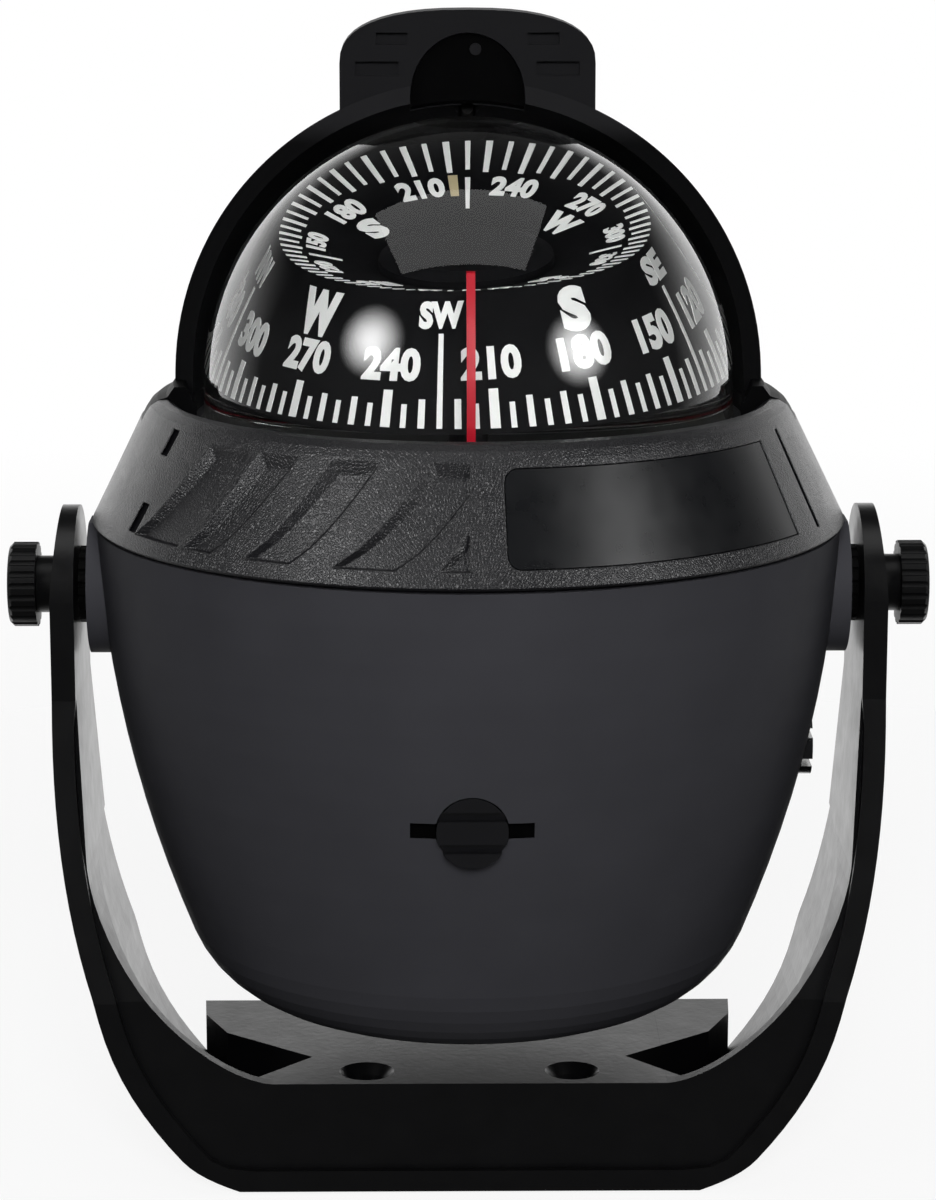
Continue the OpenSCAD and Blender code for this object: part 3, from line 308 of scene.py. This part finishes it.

# ---- Lower housing ------------------------------------------------------------------------
# A smooth satin cup, moulded in one with its two pivot bosses. The insides of the two slots
# beside the adjusters are painted near black, a painted shade for their depth: they are picked
# out by their places on the cup.


def part_of(material, kind):
    """The material's first node of this type."""
    return next(x for x in material.node_tree.nodes if x.type == kind)


def axes_of(material):
    """A node that gives the material's Object coordinates, each on a socket of its own."""
    axes = node(material.node_tree.nodes, "SeparateXYZ")
    wire(material.node_tree.links,
         (part_of(material, "TEX_COORD").outputs["Object"], axes.inputs[0]))
    return axes


def painted(material, share, colour):
    """Mixes the colour into the base colour, in the proportion that the socket share gives."""
    skin = part_of(material, "BSDF_PRINCIPLED")
    paint = node(material.node_tree.nodes, "Mix", {"B": (*colour, 1)}, data_type="RGBA")
    wire(material.node_tree.links,
         (share, paint.inputs["Factor"]),
         (skin.inputs["Base Color"].links[0].from_socket, paint.inputs["A"]),
         (paint.outputs["Result"], skin.inputs["Base Color"]))


cup_plastic = moulded("housing_plastic", (0.042, 0.042, 0.048), rough=0.58, shine=0.05,
                      depth=0.000006)
cup, cup_links = cup_plastic.node_tree.nodes, cup_plastic.node_tree.links
cup_axes = axes_of(cup_plastic)


def within(axis, centre, half):
    """One where the coordinate is no more than half away from centre, else zero."""
    test = node(cup, "Math", {1: centre, 2: half}, operation="COMPARE")
    wire(cup_links, (cup_axes.outputs[axis], test.inputs[0]))
    return test.outputs[0]


def combined(how, first, second):
    """The product of the two values (MULTIPLY) or the larger of them (MAXIMUM)."""
    pair = node(cup, "Math", operation=how)
    wire(cup_links, (first, pair.inputs[0]), (second, pair.inputs[1]))
    return pair.outputs[0]


# A slot's half width, half height and height over the base, and half of the distance from
# the cup's axis within which it is looked for.
slot_half_wide, slot_half_high, slot_z = 0.00587, 0.00077, 0.0436
cup_reach = 0.05
front_slot = combined("MULTIPLY", within("X", 0.0, slot_half_wide),
                      within("Y", -cup_reach, cup_reach))
side_slot = combined("MULTIPLY", within("Y", 0.0, slot_half_wide),
                     within("X", cup_reach, cup_reach))
slot_shade_share = combined("MULTIPLY", within("Z", slot_z, slot_half_high),
                   combined("MAXIMUM", front_slot, side_slot))
# Painted shade: the walls and floors of both slots are darkened to near black.
painted(cup_plastic, slot_shade_share, (0.0004, 0.0004, 0.0005))
dress(cup_plastic, "lower_housing")

# ---- Bezel and its panel ------------------------------------------------------------------
# The bezel is a conical ring moulded with a leather grain, screwed on over the seam. The panel
# is a smooth glossy plate set into it, and is left bare.


def grained(name, colour, rough, shine, cell, depth):
    """Fine leather grain: cells of the given number per metre stand up between fine valleys,
    the height being the distance to the nearest cell edge, warped by noise. The edges are
    rounded by a quarter of a millimetre, so that they catch the light."""
    material = moulded(name, colour, rough, shine, depth=depth)
    n, l = material.node_tree.nodes, material.node_tree.links
    where = part_of(material, "TEX_COORD")
    bump = part_of(material, "BUMP")
    bend = node(n, "TexNoise", {"Scale": cell * 0.7})
    push = node(n, "VectorMath", {1: (0.5 / cell,) * 3}, operation="MULTIPLY_ADD")
    cells = node(n, "TexVoronoi", {"Scale": cell}, feature="DISTANCE_TO_EDGE")
    lift = node(n, "MapRange", {"From Max": 0.28}, interpolation_type="SMOOTHSTEP")
    rounded = node(n, "Bevel", {"Radius": 0.00025}, samples=6)
    wire(l,
         (where.outputs["Object"], bend.inputs["Vector"]),
         (bend.outputs["Color"], push.inputs[0]),
         (where.outputs["Object"], push.inputs[2]),
         (push.outputs[0], cells.inputs["Vector"]),
         (cells.outputs["Distance"], lift.inputs["Value"]),
         (lift.outputs[0], bump.inputs["Height"]),
         (rounded.outputs[0], bump.inputs["Normal"]))
    return material


dress(grained("bezel_grain", (0.006, 0.006, 0.0075), rough=0.37, shine=0.55, cell=3600.0,
              depth=0.000024), "bezel")
dress(moulded("panel_gloss", (0.0028, 0.0032, 0.0042), rough=0.29, shine=0.5, depth=0.0),
      "bezel_panel")

# ---- Hood and lamp ------------------------------------------------------------------------
# The arched visor moulded to stand behind the dome, screwed to the bezel; its tab holds the
# night lamp, on a small board and behind a cover, and the lead runs down from it. The shell is
# painted darker than the tab, a painted shade for the light its curve turns away, the tone
# changing between 104 and 107 mm up.
shell_end, tab_start = 0.104, 0.107
hood_plastic = moulded("hood_plastic", (0.0098, 0.0098, 0.0108), rough=0.5, shine=0.04)
shell_shade_share = node(hood_plastic.node_tree.nodes, "MapRange",
                {"From Min": shell_end, "From Max": tab_start, "To Min": 1.0, "To Max": 0.0},
                interpolation_type="SMOOTHSTEP")
wire(hood_plastic.node_tree.links,
     (axes_of(hood_plastic).outputs["Z"], shell_shade_share.inputs["Value"]))
# Painted shade: the shell below the tab is darkened, and the tab keeps the plastic's own
# colour.
painted(hood_plastic, shell_shade_share.outputs[0], (0.001, 0.001, 0.0012))
dress(hood_plastic, "hood")
dress(moulded("lamp_cover_plastic", (0.0005, 0.0005, 0.0006), rough=0.34, shine=0.08),
      "lamp_cover")
dress(moulded("lamp_board", (0.03, 0.12, 0.06), rough=0.4), "led_board")
dress(moulded("cable_rubber", (0.008, 0.008, 0.008), rough=0.5, shine=0.3), "lamp_lead")
dress(moulded("lamp_resin", (0.75, 0.70, 0.55), rough=0.15), "led")

# ---- Capsule ------------------------------------------------------------------------------
# The clear moulded dome with the liquid that fills it, as one clear body down to the bowl's
# floor. The black bowl is held to the dome by the clamp ring and its screws, and the rubber
# diaphragm under its floor takes up the liquid's expansion.


def new_piece(name, points, faces, material, smooth=True):
    """A mesh object at the origin from a point array (n, 3) in metres and a list of faces."""
    mesh = bpy.data.meshes.new(name)
    mesh.from_pydata(np.asarray(points, float).tolist(), [], faces)
    mesh.materials.append(material)
    mesh.polygons.foreach_set("use_smooth", [smooth] * len(mesh.polygons))
    mesh.update()
    obj = bpy.data.objects.new(name, mesh)
    scene.collection.objects.link(obj)
    return obj


def turned(name, profile, sides, material):
    """A closed turned body: the profile (radius, height) from its top pole to its bottom pole,
    carried round Z, each pole being one point."""
    r, z = np.asarray(profile, float).T
    angle = np.arange(sides) * 2 * math.pi / sides
    rings = np.stack([np.outer(r[1:-1], np.cos(angle)), np.outer(r[1:-1], np.sin(angle)),
                      np.repeat(z[1:-1, None], sides, 1)], axis=2).reshape(-1, 3)
    points = np.vstack([[0, 0, z[0]], rings, [0, 0, z[-1]]])
    i = np.arange(sides)
    j = (i + 1) % sides
    start = 1 + sides * np.arange(len(r) - 3)[:, None]
    last = len(points) - 1 - sides
    top = np.stack([np.zeros(sides, int), 1 + i, 1 + j], axis=1)
    sleeve = np.stack([start + i, start + sides + i, start + sides + j, start + j], axis=2)
    bottom = np.stack([last + j, last + i, np.full(sides, last + sides)], axis=1)
    faces = top.tolist() + sleeve.reshape(-1, 4).tolist() + bottom.tolist()
    return new_piece(name, points, faces, material)


# The dome's outside is half a ball on a flange, and the liquid's is a smaller ball that the
# bowl's floor cuts off; arc and down are the angles that the profile follows on them.
dome_low, dome_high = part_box("dome")
bowl_low, bowl_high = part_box("capsule_bowl")
dome_radius, dome_wall, root_fillet = 0.02665, 0.00165, 0.0004
flange_thick, bowl_floor_thick = 0.0014, 0.00195
dome_centre = dome_high[2] - dome_radius
flange_radius, flange_bottom = dome_high[0], dome_low[2]
flange_top = flange_bottom + flange_thick
liquid_radius = dome_radius - dome_wall
liquid_floor = bowl_low[2] + bowl_floor_thick
liquid_floor_radius = math.sqrt(liquid_radius**2 - (dome_centre - liquid_floor) ** 2)
arc = np.radians(np.linspace(0, 90, 61))
down = np.radians(np.linspace(18.5, 43.5, 14))
cap = np.stack([np.sin(arc), np.cos(arc)], axis=1) * dome_radius + (0.0, dome_centre)
cheek = np.stack([np.cos(down), -np.sin(down)], axis=1) * liquid_radius + (0.0, dome_centre)
flange = [(dome_radius, flange_top + root_fillet), (dome_radius + root_fillet, flange_top),
          (flange_radius, flange_top), (flange_radius, flange_bottom),
          (cheek[0, 0], flange_bottom)]
ground = [(liquid_floor_radius, liquid_floor), (0.0, liquid_floor)]

# Clear with a trace of wiping marks; lamps and soft light pass it with a slight loss.
clear_body = bpy.data.materials.new("clear_dome")
cn, cl = nodes_of(clear_body)
clear_out = node(cn, "OutputMaterial")
clear_skin = node(cn, "BsdfPrincipled", {"Base Color": (0.97, 0.98, 0.98, 1),
                                         "Transmission Weight": 1.0, "IOR": 1.45})
scuff_where = node(cn, "TexCoord")
scuffs = node(cn, "TexNoise", {"Scale": 60.0, "Detail": 1.0})
scuff_range = node(cn, "MapRange", {"From Min": 0.45, "From Max": 0.8, "To Min": 0.0,
                                    "To Max": 0.006})
for_lamps = node(cn, "BsdfTransparent", {"Color": (0.93, 0.94, 0.94, 1)})
dome_path = node(cn, "LightPath")
lets_light = node(cn, "Math", operation="MAXIMUM")
dome_mix = node(cn, "MixShader")
wire(cl,
     (scuff_where.outputs["Object"], scuffs.inputs["Vector"]),
     (scuffs.outputs["Fac"], scuff_range.inputs["Value"]),
     (scuff_range.outputs[0], clear_skin.inputs["Roughness"]),
     (dome_path.outputs["Is Shadow Ray"], lets_light.inputs[0]),
     (dome_path.outputs["Is Diffuse Ray"], lets_light.inputs[1]),
     (lets_light.outputs[0], dome_mix.inputs[0]),
     (clear_skin.outputs[0], dome_mix.inputs[1]),
     (for_lamps.outputs[0], dome_mix.inputs[2]),
     (dome_mix.outputs[0], clear_out.inputs["Surface"]))

dome = turned("clear_dome", np.vstack([cap, flange, cheek, ground]), 128, clear_body)
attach(dome, "case")
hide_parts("dome")
dress(moulded("bowl_plastic", (0.006, 0.006, 0.006), rough=0.5, shine=0.3), "capsule_bowl",
      "clamp_ring", "diaphragm_cover", "filler_plug", "compensator_cage")

# ---- Dial card ----------------------------------------------------------------------------
# A black moulded card with a foam float, which turns on a post by a stone cup and is drawn
# north by its magnets. It floats with a slight lean, which the printed marks share.
dress(moulded("card_plastic", (0.0012, 0.0012, 0.0015), rough=0.7, shine=0.05, depth=0.0),
      "dial_card")
dress(moulded("hub_plastic", (0.0016, 0.0016, 0.002), rough=0.7, shine=0.06, depth=0.0),
      "card_hub")
dress(moulded("float_foam", (0.4, 0.4, 0.38), rough=0.9, shine=0.2, grain=2500.0,
              depth=0.0001), "card_float")
dress(moulded("jewel_stone", (0.5, 0.03, 0.08), rough=0.08), "jewel_cup")
dress(moulded("magnet_ferrite", (0.05, 0.05, 0.055), rough=0.5, shine=0.5), "card_magnets",
      "front_adjuster_magnet", "side_adjuster_magnet")

# The skirt is a cone from foot to top, the ring a shallow dish inside its top. The printed
# strip on the skirt starts a little over the foot and climbs, each more on one side.
foot_radius, foot_z = 0.0190, 0.0798
top_radius, top_z = 0.0140, 0.0916
strip_start, start_lean = 0.00045, 0.0003
strip_climb, climb_lean, climb_run = 0.00095, 0.0006, 0.0023
slant = math.hypot(foot_radius - top_radius, top_z - foot_z)
dish_run, dish_fall = 0.0075, 0.0021
dish_slant = math.hypot(dish_run, dish_fall)
card_point = np.array(Vector((0.0, 0.0, 0.0852)))
card_lean = np.array(Matrix.Rotation(math.radians(-1.9), 3, "Y")
                     @ Matrix.Rotation(math.radians(2.5), 3, "X"))


def floating(points):
    """The points turned about the pivot's point by the lean at which the card floats."""
    return (points - card_point) @ card_lean.T + card_point


def on_skirt(across, up, lift):
    """Points of the skirt: across is the distance clockwise round the foot from the front mark,
    up the distance along the slant from the foot, lift the height over the surface. The strip
    is a little crooked: it starts 0.15 to 0.75 mm over the foot, most on the left, and climbs
    by up to 1.55 mm more where up is large, least on the left."""
    across, up, lift = np.broadcast_arrays(across, up, lift)
    aside = np.sin(across / foot_radius)
    climb = (strip_climb - climb_lean * aside) * (1 - np.exp(-up / climb_run))
    up = up + strip_start + start_lean * aside + climb
    t = up / slant
    out_r, out_z = (top_z - foot_z) / slant, (foot_radius - top_radius) / slant
    r = foot_radius + (top_radius - foot_radius) * t + lift * out_r
    z = foot_z + (top_z - foot_z) * t + lift * out_z
    a = across / foot_radius
    return floating(np.stack([-r * np.sin(a), -r * np.cos(a), z], axis=-1))


def on_ring(across, inwards, lift):
    """Points of the dished top ring: across is the distance clockwise round its rim from the
    far mark, inwards the distance down the slope towards the hub, lift the height over it."""
    across, inwards, lift = np.broadcast_arrays(across, inwards, lift)
    r = top_radius - (inwards * dish_run + lift * dish_fall) / dish_slant
    z = top_z + (lift * dish_run - inwards * dish_fall) / dish_slant
    a = across / top_radius
    return floating(np.stack([r * np.sin(a), r * np.cos(a), z], axis=-1))


# ---- Printed scales -----------------------------------------------------------------------
# White marks every five degrees, printed 0.06 mm thick: on the skirt, read through the front
# against the red line, and on the ring, read at the far side. A figure stands every thirty
# degrees and a letter at each point of the compass.
front_reading, far_reading = 216.1, 223.6
skirt_per_degree = foot_radius * math.pi / 180
ring_per_degree = top_radius * math.pi / 180
print_lift = 0.00006
ink = moulded("scale_ink", (0.93, 0.93, 0.91), rough=0.6, shine=0.3, depth=0.0, uneven=0.03)
tan_ink = moulded("tan_ink", (0.50, 0.42, 0.25), rough=0.6, shine=0.3, depth=0.0, uneven=0.2)


def bars(place, rows):
    """Raised bars from rows of (across, half width, start, end): each is a box of 2 by 4 points
    below and above, which place(across, along, lift) puts on the surface and print_lift over
    it. Gives the points and one array of faces."""
    corners = np.array([(s, e, h) for h in (0, 1) for e in (0, 0.34, 0.67, 1) for s in (-1, 1)])
    side, along, high = corners.T
    at, half, start, end = np.array(rows).T[:, :, None]
    points = place(at + side * half, start + along * (end - start), high * print_lift)
    box = []
    for i in (0, 2, 4):
        box += [(i + 8, i + 9, i + 11, i + 10), (i, i + 2, i + 3, i + 1),
                (i, i + 8, i + 10, i + 2), (i + 1, i + 3, i + 11, i + 9)]
    box += [(0, 1, 9, 8), (6, 14, 15, 7)]
    faces = np.array(box) + len(corners) * np.arange(len(rows))[:, None, None]
    return points.reshape(-1, 3), [faces.reshape(-1, 4)]


def figure(text, width, height, weight):
    """Flat letters: their points, scaled to the width and height about their middle, and their
    triangles. Weight thickens the strokes."""
    curve = bpy.data.curves.new("letters", "FONT")
    curve.body = text
    curve.size = 1.0
    curve.offset = weight
    curve.resolution_u = 4
    curve.space_character = 1.04
    holder = bpy.data.objects.new("letters", curve)
    scene.collection.objects.link(holder)
    mesh = holder.to_mesh()
    mesh.calc_loop_triangles()
    points = np.empty(len(mesh.vertices) * 3)
    mesh.vertices.foreach_get("co", points)
    points = points.reshape(-1, 3)[:, :2]
    triangles = np.empty(len(mesh.loop_triangles) * 3, int)
    mesh.loop_triangles.foreach_get("vertices", triangles)
    holder.to_mesh_clear()
    bpy.data.objects.remove(holder)
    bpy.data.curves.remove(curve)
    low, high = points.min(0), points.max(0)
    points = (points - (low + high) / 2) / (high - low) * (width, height)
    return points, triangles.reshape(-1, 3)


def raised(text, width, height, weight, place):
    """Letters as thin solids, which place(x, y, lift) puts on a surface: a lower and an upper
    copy of the flat triangles, and one wall on each outline edge, which is an edge that no
    triangle runs back along. Gives the points and the arrays of faces."""
    flat, tri = figure(text, width, height, weight)
    count = len(flat)
    points = np.vstack([place(flat[:, 0], flat[:, 1], lift) for lift in (0.0, print_lift)])
    a, b = tri[:, [0, 1, 1, 2, 2, 0]].reshape(-1, 2).T
    there, back = a * count + b, b * count + a
    first = np.sort(np.unique(there, return_index=True)[1])
    outline = first[~np.isin(back[first], there)]
    a, b = a[outline], b[outline]
    walls = np.stack([a, b, b + count, a + count], axis=1)
    return points, [tri[:, ::-1], tri + count, walls]


def above_foot(at, up):
    """A place for flat letters on the skirt, their middle at this distance round it and up."""
    return lambda x, y, lift: on_skirt(at - x, up + y, lift)


def below_rim(far, inwards):
    """A place for flat letters on the ring, their middle at this distance round and inwards."""
    return lambda x, y, lift: on_ring(far + x, inwards - y, lift)


def gathered(name, parts, material):
    """One printed piece that rides on the card, from parts of points and arrays of faces: each
    part's faces count on from the points before it."""
    points, faces, base = [], [], 0
    for part_points, part_faces in parts:
        points.append(part_points)
        for array in part_faces:
            faces += (array + base).tolist()
        base += len(part_points)
    obj = new_piece(name, np.concatenate(points), faces, material, smooth=False)
    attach(obj, "card")


# The marks: widest every thirty degrees, then every ten, and long between the main points.
skirt_start, ring_start = 0.00015, 0.0001
ring_long = (0.00019, 0.0025, 0.0052)
skirt_rows, ring_rows = [], []
for reading in range(0, 360, 5):
    at = (reading - front_reading) * skirt_per_degree
    far = (reading - far_reading) * ring_per_degree
    if reading % 30 == 0:
        half, end = 0.00045, 0.0031
    elif reading % 90 == 45:
        half, end = 0.00026, 0.0078
    elif reading % 10 == 0:
        half, end = 0.00031, 0.0024
    else:
        half, end = 0.00026, 0.0020
    skirt_rows.append((at, half, skirt_start, end))
    half, end = (0.00019, 0.00205) if reading % 10 == 0 else (0.00015, 0.00185)
    ring_rows.append((far, half, ring_start, end))
    if reading % 90 == 45:
        ring_rows.append((far, *ring_long))

# The small tan dab beside the far mark: its place round the ring, half width, start and end.
dab_row = (-0.00072, 0.00034, 0.0023, 0.0040)
gathered("far_dab", [bars(on_ring, [dab_row])], tan_ink)
gathered("skirt_ticks", [bars(on_skirt, skirt_rows)], ink)
gathered("ring_ticks", [bars(on_ring, ring_rows)], ink)

# The figures and letters: on the skirt they stand above the marks, on the ring inside them,
# where the four points between the main ones are left out.
POINTS = {0: "N", 45: "NE", 90: "E", 135: "SE", 180: "S", 225: "SW", 270: "W", 315: "NW"}
skirt_letters, ring_letters = [], []
for reading in range(0, 360, 15):
    at = (reading - front_reading) * skirt_per_degree
    far = (reading - far_reading) * ring_per_degree
    if reading % 30 == 0:
        digits = str(reading)
        skirt_letters.append(raised(digits, width=0.0020 * len(digits), height=0.0028,
                                    weight=0.05, place=above_foot(at, up=0.0052)))
        ring_letters.append(raised(digits, width=0.00125 * len(digits), height=0.0016,
                                   weight=0.045, place=below_rim(far, inwards=0.0032)))
    word = POINTS.get(reading, "")
    if len(word) == 1:
        skirt_wide, ring_wide = (0.0056, 0.0042) if word == "W" else (0.0036, 0.0030)
        skirt_letters.append(raised(word, width=skirt_wide, height=0.0039,
                                    weight=0.07, place=above_foot(at, up=0.0088)))
        ring_letters.append(raised(word, width=ring_wide, height=0.0021,
                                   weight=0.06, place=below_rim(far, inwards=0.0055)))
    elif word:
        skirt_letters.append(raised(word, width=0.0049, height=0.0024,
                                    weight=0.06, place=above_foot(at, up=0.0094)))
gathered("skirt_figures", skirt_letters, ink)
gathered("ring_figures", ring_letters, ink)

# ---- Lubber line --------------------------------------------------------------------------
# The line in front of the card, against which the skirt is read: a strip enamelled red, whose
# foot is seated against the bowl's wall.
dress(moulded("lubber_enamel", (0.42, 0.003, 0.016), rough=0.4, shine=0.25, depth=0.0),
      "lubber_line")

# ---- Adjusters ----------------------------------------------------------------------------
# Two small glossy knobs with a grip bar, moulded on the brass shafts that turn the correcting
# magnets.
dress(moulded("adjuster_gloss", (0.006, 0.006, 0.007), rough=0.18, shine=0.5, depth=0.0),
      "front_adjuster", "side_adjuster")
